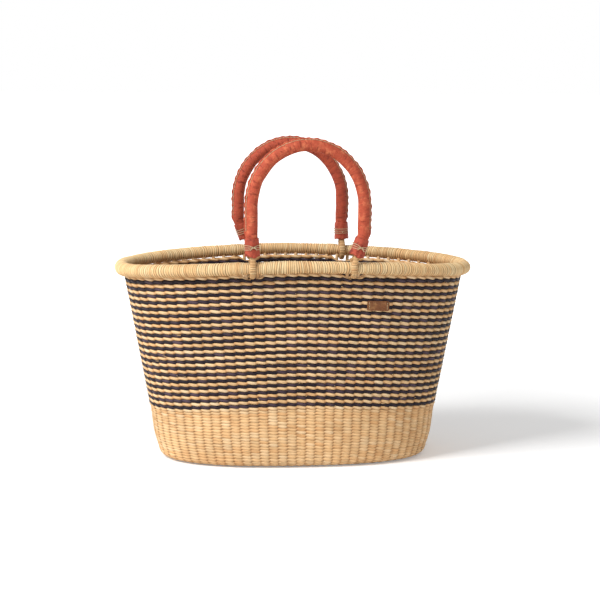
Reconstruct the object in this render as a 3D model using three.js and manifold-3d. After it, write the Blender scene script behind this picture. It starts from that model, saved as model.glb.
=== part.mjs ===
// Oval straw shopper, made as its pieces: a twined wall on a flat oval mat, twenty dark weft
// rows seated in the wall, a bundle rim bound with straw, a leather tag, and two swinging
// handles of straw rope in stitched leather, each hung on two loops round the rim.
// Millimetres, +Z up, front towards -Y, origin under the middle of the base.
import * as THREE from 'three';
import { mergeVertices } from 'three/addons/utils/BufferGeometryUtils.js';
import Module from 'manifold-3d';

const wasm = await Module();
wasm.setup();

// Overall shape of the basket
const RIM_WIDTH = 450;
const RIM_DEPTH = 222;
const RIM_HEIGHT = 250;
const BASE_WIDTH = 340;
const BASE_DEPTH = 196;
const BASE_CORNER = 12;
const WALL = 5;
const PLAN_POWER = 2.5;
const PLAN_SIDES = 28;
const END_DROOP = 11;
const DROOP_POWER = 1.6;

// Clearance between pieces that touch on the real basket
const FIT = 0.35;

// Corners of one piece that are nearer than this are the same corner
const SAME_POINT = 0.0001;

// Weft rows, counted from the top
const DARK_ROWS = 20;
const ROW_PITCH = 8.15;
const DARK_HEIGHT = 3.6;
const TOP_ROW = 5.6;
const GROOVE_DEPTH = 2.6;
const TOP_EDGE = 0.8;

// Broad rings worked into the plain band and both faces of the mat
const PLAIN_RINGS = 5;
const PLAIN_GROOVE = 1.6;
const MAT_RINGS = 3;
const MAT_RING_WIDTH = 18;
const MAT_GROOVE = 1.3;

// Stakes that stand bare between the top row and the rim
const STAKES = 76;
const STAKE_WIDTH = 4.5;
const STAKE_THICKNESS = 3;
const STAKE_ROOT = 2;
const OPENWORK_GAP = 1.3;

// Rim: a round bundle of straw, bound with straw
const ROLL_DIAMETER = 16;
const BINDING = 1.65;
const RIM_OVERHANG = 5.5;
const SLOT_MARGIN = 0.8;
const ROLL_FACETS = 8;

// Handles
const LEG_SPACING = 136;
const ARCH_OFFSET = 5.5;
const FRONT_RISE = 148.4;
const REAR_RISE = 141;
const ARCH_RISE = 73.4;
const ARCH_STEPS = 14;
const HANDLE_DIAMETER = 14.6;
const LEATHER = 1.6;
const ROPE_FACETS = 6;
const SLEEVE_FACETS = 7;
const SEAM_HEIGHT = 2.3;
const SEAM_SLIT = 0.4;
const SEAM_LIP = 1.3;
const SEAM_RUN = 6;
const KNEE_SEAM = 0.4;

// Loops that hang a handle on the rim, each in the gap between two stakes that is
// nearest to its place along the rim
const FRONT_LEFT_LOOP = -62;
const FRONT_RIGHT_LOOP = 62;
const REAR_LEFT_LOOP = -48;
const REAR_RIGHT_LOOP = 75;
const LOOP_WIDTH = 7.5;
const LOOP_THICKNESS = 3.6;
const LOOP_BEVEL = 1.4;
const LOOP_PLAY = 1.2;
const LOOP_HEIGHT = 19.5;
const LOOP_SLIT = 0.5;
const LOOP_STEPS = 10;
const LOOP_TOP_STEPS = 3;
const NOTCH_MARGIN = 0.5;
// Room on each side of a loop: a leaning one moves sideways as its handle swings
const NOTCH_SIDE_ROOM = 1;

// Cuffs over the sleeve ends, and the thread tied round each
const CUFF_START = 15;
const CUFF_LENGTH = 22;
const CUFF_LEATHER = 1.2;
const CUFF_FLARE = 0.4;
const CUFF_BULGE = 0.3;
const CUFF_FACETS = 10;
const TIE_THICKNESS = 1.1;
const TIE_HEIGHT = 11;

// Bare leather tag on the front wall
const TAG_WIDTH = 28;
const TAG_HEIGHT = 12;
const TAG_THICKNESS = 1.2;
const TAG_CORNER = 1.5;
const TAG_X = 93.5;
const TAG_Z = 204;

const rollRadius = ROLL_DIAMETER / 2;
const handleRadius = HANDLE_DIAMETER / 2;
const wallTop = RIM_HEIGHT - rollRadius - OPENWORK_GAP;
const rimLine = RIM_WIDTH / 2 - rollRadius;
const topHalf = rimLine - RIM_OVERHANG + WALL / 2;
const baseHalf = BASE_WIDTH / 2;
const darkRowHeight = (row) => wallTop - TOP_ROW - row * ROW_PITCH;
const bandHeight = darkRowHeight(DARK_ROWS - 1);

const straw = { color: '#c79c5e', roughness: 0.75, metalness: 0 };
const rimStraw = { color: '#d3ad72', roughness: 0.7, metalness: 0 };
const ropeStraw = { color: '#b58b52', roughness: 0.85, metalness: 0 };
const darkStraw = { color: '#272029', roughness: 0.65, metalness: 0 };
const handleLeather = { color: '#b9482d', roughness: 0.6, metalness: 0 };
const cuffLeather = { color: '#9e3826', roughness: 0.6, metalness: 0 };
const tagLeather = { color: '#6f4526', roughness: 0.55, metalness: 0 };
const thread = { color: '#d9c8a4', roughness: 0.8, metalness: 0 };

const names = (prefix, count) => (
  Array.from({ length: count }, (_, i) => `${prefix}_${String(i + 1).padStart(2, '0')}`)
);

const clamp01 = (value) => Math.min(Math.max(value, 0), 1);

const signedPower = (value, power) => (
  Math.abs(value) < Number.EPSILON * 8 ? 0 : Math.sign(value) * Math.abs(value) ** power
);

// Share of the way up the sloping wall, from the base corner to the top row
const climb = (z) => clamp01((z - BASE_CORNER) / (wallTop - BASE_CORNER));

// Half-length of the wall's outside at height z, and how much less its half-depth is
const halfLength = (z) => THREE.MathUtils.lerp(baseHalf, topHalf, climb(z));
const depthLoss = (z) => THREE.MathUtils.lerp(
  (BASE_WIDTH - BASE_DEPTH) / 2,
  (RIM_WIDTH - RIM_DEPTH) / 2,
  climb(z),
);

// The two ends hang lower than the long sides, all the way down the striped band,
// and the natural band below it takes up the difference.
const droop = (z, endShare) => (
  END_DROOP * clamp01(z / bandHeight) * Math.abs(endShare) ** DROOP_POWER
);

// Point of the oval plan: half-length, turn round the plan, height at the long sides
function onOval(half, turn, z) {
  const across = signedPower(Math.cos(turn), 2 / PLAN_POWER);
  const deep = signedPower(Math.sin(turn), 2 / PLAN_POWER);
  return new THREE.Vector3(half * across, (half - depthLoss(z)) * deep, z - droop(z, across));
}

const ovalRing = (half, z) => (
  Array.from({ length: PLAN_SIDES }, (_, i) => onOval(half, (i * 2 * Math.PI) / PLAN_SIDES, z))
);

// Shared vertices merged and faces turned outwards
function closedBody(geometry) {
  geometry.deleteAttribute('normal');
  geometry.deleteAttribute('uv');
  const body = mergeVertices(geometry, SAME_POINT);
  const corners = [0, 1, 2].map(() => new THREE.Vector3());
  const index = body.index.array;
  let volume = 0;
  for (let i = 0; i < index.length; i += 3) {
    corners.forEach((corner, k) => corner.fromBufferAttribute(body.attributes.position, index[i + k]));
    volume += corners[0].dot(corners[1].cross(corners[2]));
  }
  if (volume < 0) {
    for (let i = 0; i < index.length; i += 3) {
      [index[i], index[i + 1]] = [index[i + 1], index[i]];
    }
  }
  return body;
}

// A closed profile of [half-length, height] points, turned and drawn out to the oval plan
function ovalLathe(profile) {
  const points = [...profile, profile[0]].map(([half, z]) => new THREE.Vector2(half, z));
  const geometry = new THREE.LatheGeometry(points, PLAN_SIDES);
  const position = geometry.attributes.position;
  for (let i = 0; i < position.count; i++) {
    const side = Math.floor(i / points.length) % PLAN_SIDES;
    const { x, y } = points[i % points.length];
    const point = onOval(x, (side * 2 * Math.PI) / PLAN_SIDES, y);
    position.setXYZ(i, point.x, point.y, point.z);
  }
  return closedBody(geometry);
}

// A skin over rings of points, closed on itself or capped at both ends
function loft(rings, outline) {
  const size = rings[0].length;
  const faces = [];
  const spans = outline ? rings.length - 1 : rings.length;
  for (let i = 0; i < spans; i++) {
    const near = i * size;
    const far = ((i + 1) % rings.length) * size;
    for (let j = 0; j < size; j++) {
      const next = (j + 1) % size;
      faces.push(near + j, near + next, far + next);
      faces.push(near + j, far + next, far + j);
    }
  }
  if (outline) {
    const last = (rings.length - 1) * size;
    for (const [a, b, c] of THREE.ShapeUtils.triangulateShape(outline, [])) {
      faces.push(c, b, a);
      faces.push(last + a, last + b, last + c);
    }
  }
  const geometry = new THREE.BufferGeometry().setFromPoints(rings.flat());
  geometry.setIndex(faces);
  return closedBody(geometry);
}

const toManifold = (geometry) => new wasm.Manifold(new wasm.Mesh({
  numProp: 3,
  vertProperties: Float32Array.from(geometry.attributes.position.array),
  triVerts: Uint32Array.from(geometry.index.array),
}));

function fromManifold(body) {
  const { vertProperties, triVerts } = body.getMesh();
  const geometry = new THREE.BufferGeometry();
  geometry.setAttribute('position', new THREE.BufferAttribute(vertProperties, 3));
  geometry.setIndex(new THREE.BufferAttribute(triVerts, 1));
  return geometry;
}

function piece(name, geometry, look) {
  const mesh = new THREE.Mesh(geometry, new THREE.MeshStandardMaterial(look));
  mesh.name = name;
  return mesh;
}

// The faceted ring as one path, from the front's middle all the way round
function pathRound(ring) {
  const first = (3 * PLAN_SIDES) / 4;
  const corners = Array.from({ length: PLAN_SIDES + 1 }, (_, i) => ring[(first + i) % PLAN_SIDES]);
  const path = new THREE.CurvePath();
  corners.slice(1).forEach((corner, i) => path.add(new THREE.LineCurve3(corners[i], corner)));
  return path;
}

// Front point of a faceted ring at a given x
function frontOf(ring, x) {
  const corners = ring.filter((corner) => corner.y <= 0).sort((a, b) => a.x - b.x);
  const after = corners.findIndex((corner) => corner.x >= x);
  const [from, to] = [corners[after - 1], corners[after]];
  return from.clone().lerp(to, (x - from.x) / (to.x - from.x));
}

// The stakes stand at equal steps along the middle of the wall's top
const stakePath = pathRound(ovalRing(topHalf - WALL / 2, wallTop));
const stakeShares = Array.from({ length: STAKES }, (_, i) => i / STAKES);

// Middle, along the rim, of the gap between two stakes that is nearest to a loop's place
function gapNear(face, place) {
  const middles = stakeShares
    .map((share) => stakePath.getPointAt(share + 0.5 / STAKES))
    .filter((middle) => middle.y * face > 0)
    .map((middle) => middle.x);
  return middles.reduce((a, b) => (Math.abs(b - place) < Math.abs(a - place) ? b : a));
}

// Each handle turns about the straight line through its two loops' places on the rim.
// Its own x runs along that line, from where the line crosses the basket's middle.
const handles = [
  { where: 'front', face: -1, rise: FRONT_RISE, places: [FRONT_LEFT_LOOP, FRONT_RIGHT_LOOP] },
  { where: 'rear', face: 1, rise: REAR_RISE, places: [REAR_LEFT_LOOP, REAR_RIGHT_LOOP] },
].map(({ where, face, rise, places }) => {
  const hangers = places.map((place) => {
    const point = frontOf(ovalRing(rimLine, RIM_HEIGHT), gapNear(face, place));
    return point.setY(-face * point.y);
  });
  const axis = hangers[1].clone().sub(hangers[0]).normalize();
  const middle = hangers[0].clone().addScaledVector(axis, -hangers[0].x / axis.x);
  return { where, rise, hangers, axis, middle };
});

// The rim's binding is open where the stakes come up into the bundle.
// Angles run from straight down, towards the inside of the basket and over the top.
const stakeOuter = RIM_OVERHANG - STAKE_THICKNESS / 2;
const stakeInner = RIM_OVERHANG + STAKE_THICKNESS / 2;
const slotStart = Math.asin(Math.min((stakeOuter - SLOT_MARGIN) / rollRadius, 1));
const slotEnd = Math.asin(Math.min((stakeInner + SLOT_MARGIN) / rollRadius, 1));
const bundleRadius = rollRadius - BINDING - FIT;

function rollArc(radius) {
  const sweep = 2 * Math.PI + slotStart - slotEnd;
  return Array.from({ length: ROLL_FACETS + 1 }, (_, i) => {
    const angle = slotEnd + (sweep * i) / ROLL_FACETS;
    return [rimLine - radius * Math.sin(angle), RIM_HEIGHT - radius * Math.cos(angle)];
  });
}

// Height of a stake's top, just under the flat of the bundle that faces the slot
function stakeTop() {
  const middle = (slotStart + slotEnd) / 2;
  const flat = bundleRadius * Math.cos((slotEnd - slotStart) / 2);
  const drop = (flat + FIT - stakeOuter * Math.sin(middle)) / Math.cos(middle);
  return RIM_HEIGHT - drop;
}

// Wall: natural weft crests with a groove for each dark row, bottom corner turned in to the mat
function wallProfile() {
  const outside = (z, inset = 0) => [halfLength(z) - inset, z];
  const corner = (radius, share) => {
    const angle = (share * Math.PI) / 2;
    const centre = baseHalf - BASE_CORNER;
    return [centre + radius * Math.sin(angle), BASE_CORNER - radius * Math.cos(angle)];
  };
  const profile = [0, 1 / 3, 2 / 3, 1].map((share) => corner(BASE_CORNER, share));
  const plainRing = (bandHeight - ROW_PITCH / 2 - BASE_CORNER) / PLAIN_RINGS;
  for (let edge = 1; edge < 2 * PLAIN_RINGS; edge++) {
    profile.push(outside(BASE_CORNER + (edge * plainRing) / 2, edge % 2 === 1 ? PLAIN_GROOVE : 0));
  }
  for (let row = DARK_ROWS - 1; row >= 0; row--) {
    const z = darkRowHeight(row);
    profile.push(outside(z - ROW_PITCH / 2));
    profile.push(outside(z, GROOVE_DEPTH));
  }
  profile.push(outside(darkRowHeight(0) + ROW_PITCH / 2));
  profile.push(outside(wallTop, TOP_EDGE));
  profile.push(outside(wallTop, WALL));
  profile.push(outside(bandHeight, WALL));
  [1, 2 / 3, 1 / 3, 0].forEach((share) => profile.push(corner(BASE_CORNER - WALL, share)));
  return profile;
}

function stakeGeometry(share) {
  const at = stakePath.getPointAt(share);
  const along = stakePath.getTangentAt(share);
  const bottom = at.z - STAKE_ROOT;
  const top = at.z + stakeTop() - wallTop;
  const stake = new THREE.BoxGeometry(STAKE_WIDTH, STAKE_THICKNESS, top - bottom);
  stake.rotateZ(Math.atan2(along.y, along.x));
  stake.translate(at.x, at.y, (top + bottom) / 2);
  return closedBody(stake);
}

// Way through the top row for one loop, as wide as the loop and its play
function notchGeometry({ x, y, z }) {
  const reach = rollRadius + LOOP_PLAY + LOOP_THICKNESS + NOTCH_MARGIN;
  const width = LOOP_WIDTH + 2 * NOTCH_SIDE_ROOM;
  const notch = new THREE.BoxGeometry(width, 2 * reach, reach);
  notch.translate(x, y, z - reach / 2);
  return closedBody(notch);
}

function wallGeometry() {
  let wall = toManifold(ovalLathe(wallProfile()));
  for (const share of stakeShares) {
    wall = wall.add(toManifold(stakeGeometry(share)));
  }
  for (const hanger of handles.flatMap(({ hangers }) => hangers)) {
    wall = wall.subtract(toManifold(notchGeometry(hanger)));
  }
  return fromManifold(wall);
}

// Mat: flat in its middle, with the same rings above and below round it
function matGeometry() {
  const face = Array.from({ length: 2 * MAT_RINGS + 1 }, (_, edge) => ({
    half: baseHalf - BASE_CORNER - FIT - (edge * MAT_RING_WIDTH) / 2,
    inset: edge % 2 === 1 ? MAT_GROOVE : 0,
  }));
  const flat = (point, z) => new THREE.Vector3(point.x, point.y, z);
  const below = face.map(({ half, inset }) => ovalRing(half, 0).map((p) => flat(p, inset)));
  const above = face.map(({ half, inset }) => ovalRing(half, 0).map((p) => flat(p, WALL - inset)));
  const middle = below.at(-1).map(({ x, y }) => new THREE.Vector2(x, y));
  return loft([...below.reverse(), ...above], middle);
}

// Dark row: a wedge-shaped strand whose inner edge lies in its groove
function darkRowGeometry(row) {
  const z = darkRowHeight(row);
  const half = halfLength(z);
  return ovalLathe([
    [half - GROOVE_DEPTH + FIT, z],
    [half, z - DARK_HEIGHT / 2],
    [half, z + DARK_HEIGHT / 2],
  ]);
}

const bundleGeometry = () => ovalLathe(rollArc(bundleRadius));

const bindingGeometry = () => ovalLathe([
  ...rollArc(rollRadius),
  ...rollArc(bundleRadius + FIT).reverse(),
]);

function tag() {
  const [w, h] = [TAG_WIDTH / 2, TAG_HEIGHT / 2];
  const r = TAG_CORNER;
  const outline = new THREE.Shape([
    [-w + r, -h], [w - r, -h], [w, -h + r], [w, h - r],
    [w - r, h], [-w + r, h], [-w, h - r], [-w, -h + r],
  ].map(([x, y]) => new THREE.Vector2(x, y)));
  const plate = new THREE.ExtrudeGeometry(outline, { depth: TAG_THICKNESS, bevelEnabled: false });
  const rise = ROW_PITCH;
  const at = frontOf(ovalRing(halfLength(TAG_Z), TAG_Z), TAG_X);
  const beside = frontOf(ovalRing(halfLength(TAG_Z), TAG_Z), TAG_X + TAG_CORNER);
  const above = frontOf(ovalRing(halfLength(TAG_Z + rise), TAG_Z + rise), TAG_X);
  const across = beside.sub(at).normalize();
  const outward = across.clone().cross(above.sub(at)).normalize();
  const up = outward.clone().cross(across);
  const mesh = piece('tag', closedBody(plate), tagLeather);
  mesh.rotation.setFromRotationMatrix(new THREE.Matrix4().makeBasis(across, up, outward));
  mesh.position.copy(at.addScaledVector(outward, FIT));
  return mesh;
}

// A loop's shape round the rim, seen along the rim: a belt over a large and a small circle
const loopRadius = rollRadius + LOOP_PLAY + LOOP_THICKNESS / 2;
const loopTopRadius = (LOOP_THICKNESS + LOOP_SLIT) / 2;
const beltTilt = Math.asin((loopRadius - loopTopRadius) / LOOP_HEIGHT);
const leanStart = loopRadius * Math.sin(beltTilt);
const loopTop = LOOP_HEIGHT + loopTopRadius + LOOP_THICKNESS / 2;

// Above the rim each loop, cuff and sleeve end leans over to the handle's leg, up to the knee
const knee = CUFF_START + CUFF_LENGTH + SEAM_RUN / 2;

function legOf(handle, side) {
  const loopX = handle.hangers[side < 0 ? 0 : 1].x / handle.axis.x;
  const x = ARCH_OFFSET + (side * LEG_SPACING) / 2;
  const lean = (x - loopX) / (knee - leanStart);
  const angle = Math.atan(lean);
  return {
    x,
    angle,
    leanX: (z) => loopX + lean * Math.max(z - leanStart, 0),
    ropeStart: loopTop + FIT + handleRadius * Math.abs(Math.sin(angle)),
  };
}

function loopGeometry({ leanX }) {
  const path = [];
  const arc = (centre, radius, from, to, steps) => {
    for (let i = 0; i <= steps; i++) {
      const angle = THREE.MathUtils.lerp(from, to, i / steps);
      path.push({ centre, radius, angle });
    }
  };
  arc(0, loopRadius, beltTilt, -Math.PI - beltTilt, LOOP_STEPS);
  arc(LOOP_HEIGHT, loopTopRadius, Math.PI - beltTilt, beltTilt, LOOP_TOP_STEPS);
  const [w, h] = [LOOP_WIDTH / 2, LOOP_THICKNESS / 2];
  const shoulder = w - LOOP_BEVEL;
  const section = [[w, 0], [shoulder, h], [-shoulder, h], [-w, 0], [-shoulder, -h], [shoulder, -h]];
  return loft(path.map(({ centre, radius, angle }) => section.map(([across, out]) => {
    const z = centre + (radius + out) * Math.sin(angle);
    const middle = centre + radius * Math.sin(angle);
    return new THREE.Vector3(leanX(middle) + across, (radius + out) * Math.cos(angle), z);
  })));
}

// The handle's centre line, from the left end over the arch to the right end
function handleStations(handle) {
  const spring = handle.rise - ARCH_RISE;
  const [left, right] = [-1, 1].map((side) => {
    const leg = legOf(handle, side);
    return [
      { x: leg.leanX(leg.ropeStart), z: leg.ropeStart, seam: 0 },
      { x: leg.leanX(knee - SEAM_RUN / 3), z: knee - SEAM_RUN / 3, seam: 0 },
      { x: leg.x, z: knee, seam: KNEE_SEAM },
      { x: leg.x, z: knee + SEAM_RUN, seam: 1 },
    ];
  });
  const arch = Array.from({ length: ARCH_STEPS + 1 }, (_, i) => {
    const angle = Math.PI * (1 - i / ARCH_STEPS);
    const x = ARCH_OFFSET + (LEG_SPACING / 2) * Math.cos(angle);
    return { x, z: spring + ARCH_RISE * Math.sin(angle), seam: 1 };
  });
  const stations = [...left, ...arch, ...right.toReversed()];
  return stations.map((station, i) => {
    const before = stations[Math.max(i - 1, 0)];
    const after = stations[Math.min(i + 1, stations.length - 1)];
    const along = new THREE.Vector2(after.x - before.x, after.z - before.z).normalize();
    return { ...station, outX: -along.y, outZ: along.x };
  });
}

// Sweep of a section given as [outwards from the arch, towards the rear]
function sweepHandle(handle, sectionAt) {
  const rings = handleStations(handle).map((station) => (
    sectionAt(station.seam).map(([out, back]) => new THREE.Vector3(
      station.x + out * station.outX,
      back,
      station.z + out * station.outZ,
    ))
  ));
  return loft(rings, sectionAt(1).map(([out, back]) => new THREE.Vector2(out, back)));
}

function ropeGeometry(handle) {
  const radius = handleRadius - LEATHER - FIT;
  const section = Array.from({ length: ROPE_FACETS }, (_, i) => {
    const angle = (i * 2 * Math.PI) / ROPE_FACETS;
    return [radius * Math.cos(angle), radius * Math.sin(angle)];
  });
  return sweepHandle(handle, () => section);
}

// Sleeve: one strip of leather folded round the rope, its two edges standing up as a seam
function sleeveGeometry(handle) {
  const arc = (radius, edge) => {
    const start = Math.asin(edge / radius);
    return Array.from({ length: SLEEVE_FACETS + 1 }, (_, i) => {
      const angle = start + ((2 * Math.PI - 2 * start) * i) / SLEEVE_FACETS;
      return [radius * Math.cos(angle), radius * Math.sin(angle)];
    });
  };
  const inner = SEAM_SLIT / 2;
  const outer = inner + SEAM_LIP;
  const bore = (handleRadius - LEATHER) / Math.cos(Math.PI / SLEEVE_FACETS);
  return sweepHandle(handle, (seam) => {
    const tip = handleRadius + SEAM_HEIGHT * seam;
    return [
      [tip, inner],
      [tip, outer],
      ...arc(handleRadius, outer),
      [tip, -outer],
      [tip, -inner],
      ...arc(bore, inner).reverse(),
    ];
  });
}

// Cuff and tie are turned about the sleeve end's own line
const cuffBore = (handleRadius + FIT) / Math.cos(Math.PI / CUFF_FACETS);
const cuffOutside = [
  [cuffBore + CUFF_FLARE + CUFF_LEATHER, 0],
  [cuffBore + CUFF_BULGE + CUFF_LEATHER, TIE_HEIGHT - TIE_THICKNESS],
  [cuffBore + CUFF_LEATHER, CUFF_LENGTH],
];

function turned(profile) {
  const points = [...profile, profile[0]].map(([radius, z]) => new THREE.Vector2(radius, z));
  return closedBody(new THREE.LatheGeometry(points, CUFF_FACETS).rotateX(Math.PI / 2));
}

const cuffGeometry = () => turned([
  ...cuffOutside,
  [cuffBore, CUFF_LENGTH],
  [cuffBore, CUFF_LENGTH / 3],
  [cuffBore + CUFF_FLARE, 0],
]);

function tieGeometry() {
  const inner = cuffBore + CUFF_BULGE + CUFF_LEATHER + FIT;
  return turned([
    [inner, TIE_HEIGHT - TIE_THICKNESS / 2],
    [inner + TIE_THICKNESS, TIE_HEIGHT],
    [inner, TIE_HEIGHT + TIE_THICKNESS / 2],
  ]);
}

function handleGroup(handle) {
  const { where } = handle;
  const group = new THREE.Group();
  group.position.copy(handle.middle);
  group.quaternion.setFromUnitVectors(new THREE.Vector3(1, 0, 0), handle.axis);
  group.add(piece(`${where}_handle_rope`, ropeGeometry(handle), ropeStraw));
  group.add(piece(`${where}_handle_sleeve`, sleeveGeometry(handle), handleLeather));
  for (const [side, hand] of [[-1, 'left'], [1, 'right']]) {
    const leg = legOf(handle, side);
    group.add(piece(`${where}_${hand}_loop`, loopGeometry(leg), rimStraw));
    const end = new THREE.Group();
    end.position.set(leg.leanX(CUFF_START), 0, CUFF_START);
    end.rotation.y = leg.angle;
    end.add(piece(`${where}_${hand}_cuff`, cuffGeometry(), cuffLeather));
    end.add(piece(`${where}_${hand}_tie`, tieGeometry(), thread));
    group.add(end);
  }
  return group;
}

const group = new THREE.Group();
group.add(piece('wall', wallGeometry(), straw));
group.add(piece('base_mat', matGeometry(), straw));
names('dark_row', DARK_ROWS).forEach((name, row) => {
  group.add(piece(name, darkRowGeometry(row), darkStraw));
});
group.add(piece('rim_bundle', bundleGeometry(), ropeStraw));
group.add(piece('rim_binding', bindingGeometry(), rimStraw));
group.add(tag());
handles.forEach((handle) => group.add(handleGroup(handle)));

export default group;
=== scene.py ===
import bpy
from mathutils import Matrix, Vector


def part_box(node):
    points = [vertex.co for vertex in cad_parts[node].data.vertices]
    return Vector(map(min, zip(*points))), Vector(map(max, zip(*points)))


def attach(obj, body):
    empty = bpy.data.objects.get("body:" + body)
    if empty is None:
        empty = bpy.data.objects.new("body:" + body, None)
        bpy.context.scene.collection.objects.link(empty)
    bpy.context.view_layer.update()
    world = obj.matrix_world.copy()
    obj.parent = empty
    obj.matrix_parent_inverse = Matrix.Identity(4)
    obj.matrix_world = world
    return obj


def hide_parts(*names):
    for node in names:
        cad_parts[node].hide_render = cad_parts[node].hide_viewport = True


bl_info = {
    "name": "Twined Straw Shopper",
    "version": (1, 0, 0),
    "blender": (4, 5, 0),
    "location": "View3D > Sidebar > Straw Shopper",
    "description": "Dresses a packed basket in twined straw, a bound rim and leather handles",
    "category": "Add Mesh",
}

import math
from functools import partial

import bpy
import numpy as np
from bpy.props import FloatProperty, FloatVectorProperty, IntProperty, PointerProperty
from mathutils import Euler, Matrix, Vector

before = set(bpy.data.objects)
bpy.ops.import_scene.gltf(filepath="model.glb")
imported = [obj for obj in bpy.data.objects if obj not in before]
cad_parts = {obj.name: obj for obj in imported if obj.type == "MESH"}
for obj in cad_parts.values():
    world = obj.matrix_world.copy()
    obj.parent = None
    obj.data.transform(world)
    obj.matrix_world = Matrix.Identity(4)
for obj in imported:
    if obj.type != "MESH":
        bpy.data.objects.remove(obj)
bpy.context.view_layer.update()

MM = 0.001
FRONT, REAR = -1, 1
LEFT, RIGHT = -1, 1

# The wall's plan and profile, as the solids have them
WALL = 5 * MM
PLAN_POWER = 2.5
DROOP_POWER = 1.6
END_DROOP = 11 * MM
BASE_CORNER = 12 * MM
OPENWORK_GAP = 1.3 * MM
RIM_OVERHANG = 5.5 * MM
TOP_ROW = 5.6 * MM

# The woven wall bellies out over its corner
BELLY = 3.2 * MM
BELLY_HEIGHT = 22 * MM
BELLY_SPREAD = 28 * MM

# Rows of the plain band and of the mat
PLAIN_START = 6.1 * MM
PLAIN_PITCH = 3.9 * MM
MAT_PITCH = 3.95 * MM

# How each kind of row is twined, in the words of twine_row, and its points to a stake
WEFT_RADIUS = 1.6 * MM
ROW_STEPS = 6
STAY_OUT = 0.35
DARK_ROW = {"drop": 0.8, "tall": 2.0, "thick": 1.05, "pinch": 0.1, "paling": 0.3}
NATURAL_ROW = {
    "drop": 0.65, "tall": 2.1, "thick": 1.05, "pinch": 0.1, "paling": 0.25, "spread": 0.4,
}
TOP_NATURAL_ROW = {"drop": 0.8, "pinch": 0.15, "paling": 0.3}
PLAIN_ROW = {
    "drop": 0.5, "tall": 2.4, "thick": 0.9, "reach": 0.85, "pinch": 0.35, "paling": 0.1,
    "column": 0, "spread": 0.3,
}
MAT_ROW = {"drop": 0.6, "tall": 1.9, "thick": 1.0, "sides": 5}

# The two rows next to the rim are pushed up against it, and pressed down beside the loops,
# over this many stakes to each side
DARK_PUSHED_UP = 0.6 * MM
DARK_PRESSED_BY = 1.7 * MM
TOP_PUSHED_UP = 0.9 * MM
TOP_PRESSED_DOWN = 4.1 * MM
LOOP_ROOM = 0.78

# Half the section of a stake, and how far under the rim it comes out of the rows
STAKE_HALF_WIDTH = 1.9 * MM
STAKE_HALF_THICKNESS = 0.45 * MM
BARE_FROM = 6 * MM
INTO_RIM = 5 * MM

# The rim: radius of the bundle between and over its stalks, and of the binding in the
# grooves between its turns
BUNDLE_RADIUS = (5.3 * MM, 5.9 * MM)
BINDING_RADIUS = 7.3 * MM
BINDING_RIDGE = 0.75 * MM
BINDING_SWELL = 0.55 * MM
BINDING_PRESSED = 0.7 * MM

# Handles and loops, as the solids have them. Each loop hangs in a gap between two stakes,
# given as a number of stakes left and right of the middle of its side.
LOOP_GAPS = {FRONT: (4.5, 4.5), REAR: (3.5, 5.5)}
HANDLE_RISE = {FRONT: 148.4 * MM, REAR: 141 * MM}
ARCH_RISE = 73.4 * MM
ARCH_OFFSET = 5.5 * MM
LOOP_PLAY = 1.2 * MM
LOOP_THICKNESS = 3.6 * MM
LOOP_WIDTH = 7.5 * MM
LOOP_SLIT = 0.5 * MM
LOOP_HEIGHT = 19.5 * MM
CUFF_START = 15 * MM
CUFF_LENGTH = 22 * MM
TIE_HEIGHT = 11 * MM
KNEE = 40 * MM
ROPE_LAY = 26 * MM
STRAND_RADIUS = 2.1 * MM
STRAND_OUT = 2.3 * MM
SLEEVE_THICKNESS = 1.6 * MM
SEAM_HEIGHT = 1.9 * MM
STITCH_PITCH = 4.25 * MM
WINDING = 1.9 * MM
WINDING_RIDGE = 0.6 * MM
WINDING_ROOM = (0.5 * MM, 0.45 * MM)
CUFF_ROOM = 0.45 * MM
CUFF_THICKNESS = 0.9 * MM
TIE_OUT = 2.75 * MM
THREAD = 0.36 * MM
STITCH_THREAD = 0.34 * MM
TAG_THREAD = 0.27 * MM

# Rings of a cuff from its lower edge up: rise in mm, and width against the ring before
CUFF_RINGS = (
    (1.2, 1.03), (2.2, 0.99), (2.6, 0.97), (2.4, 0.955), (2.2, 0.97), (2.2, 1.03),
    (2.6, 1.02), (2.6, 0.99), (2.6, 0.985), (1.2, 0.97),
)

# The tag: its size, and how far from its middle and from the solid's place it is set
TAG_SIZE = (28 * MM, 12 * MM, 1.2 * MM)
TAG_CORNER = 1.5 * MM
TAG_STITCHES = 11.6 * MM
TAG_PROUD = 0.5 * MM

STRAY_ENDS = 150
STRAY_ON_PLAIN = 6

# Lamps: place and aim in metres, width in metres, power in watts. A large window-like light
# from the upper left, and a weak one from the right.
LAMPS = {
    "window": ((-1.95, -1.1, 2.1), (0, 0, 0.12), 1.1, 82),
    "fill": ((1.8, -1.9, 0.9), (0, 0, 0.15), 1.6, 2.5),
}

# The camera of the photograph: metres, degrees and, for the lens, mm
EYE_AWAY = 2.188
EYE_HEIGHT = 0.505
EYE_TURN = -6.44
EYE_AIM = -0.22
EYE_DOWN = 8.05
EYE_ROLL = 0.5
EYE_LENS = 104.4

# The finish of each slot, except the two sleeves' own
FINISHES = {
    "natural_straw": "twined_natural_straw", "dark_straw": "twined_dyed_straw",
    "binding_straw": "wound_split_straw", "bundle_straw": "bundled_stalks",
    "cuff_leather": "bound_goatskin", "tag_leather": "pressed_hide",
    "waxed_thread": "waxed_linen_thread",
}

# One start for the random numbers of each kind of piece
SEEDS = {
    "dark": 100, "natural": 200, "plain": 300, "mat": 400, "stakes": 500, "rim": 600,
    "sleeve": 700, "loop": 802, "cuff": 902, "stray": 1000,
}
HANDLES = (("front", FRONT), ("rear", REAR))


def linear(colour):
    """Linear RGBA of an sRGB hex colour."""
    parts = [int(colour[i:i + 2], 16) / 255 for i in (1, 3, 5)]
    return [p / 12.92 if p <= 0.04045 else ((p + 0.055) / 1.055) ** 2.4 for p in parts] + [1.0]


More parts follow.
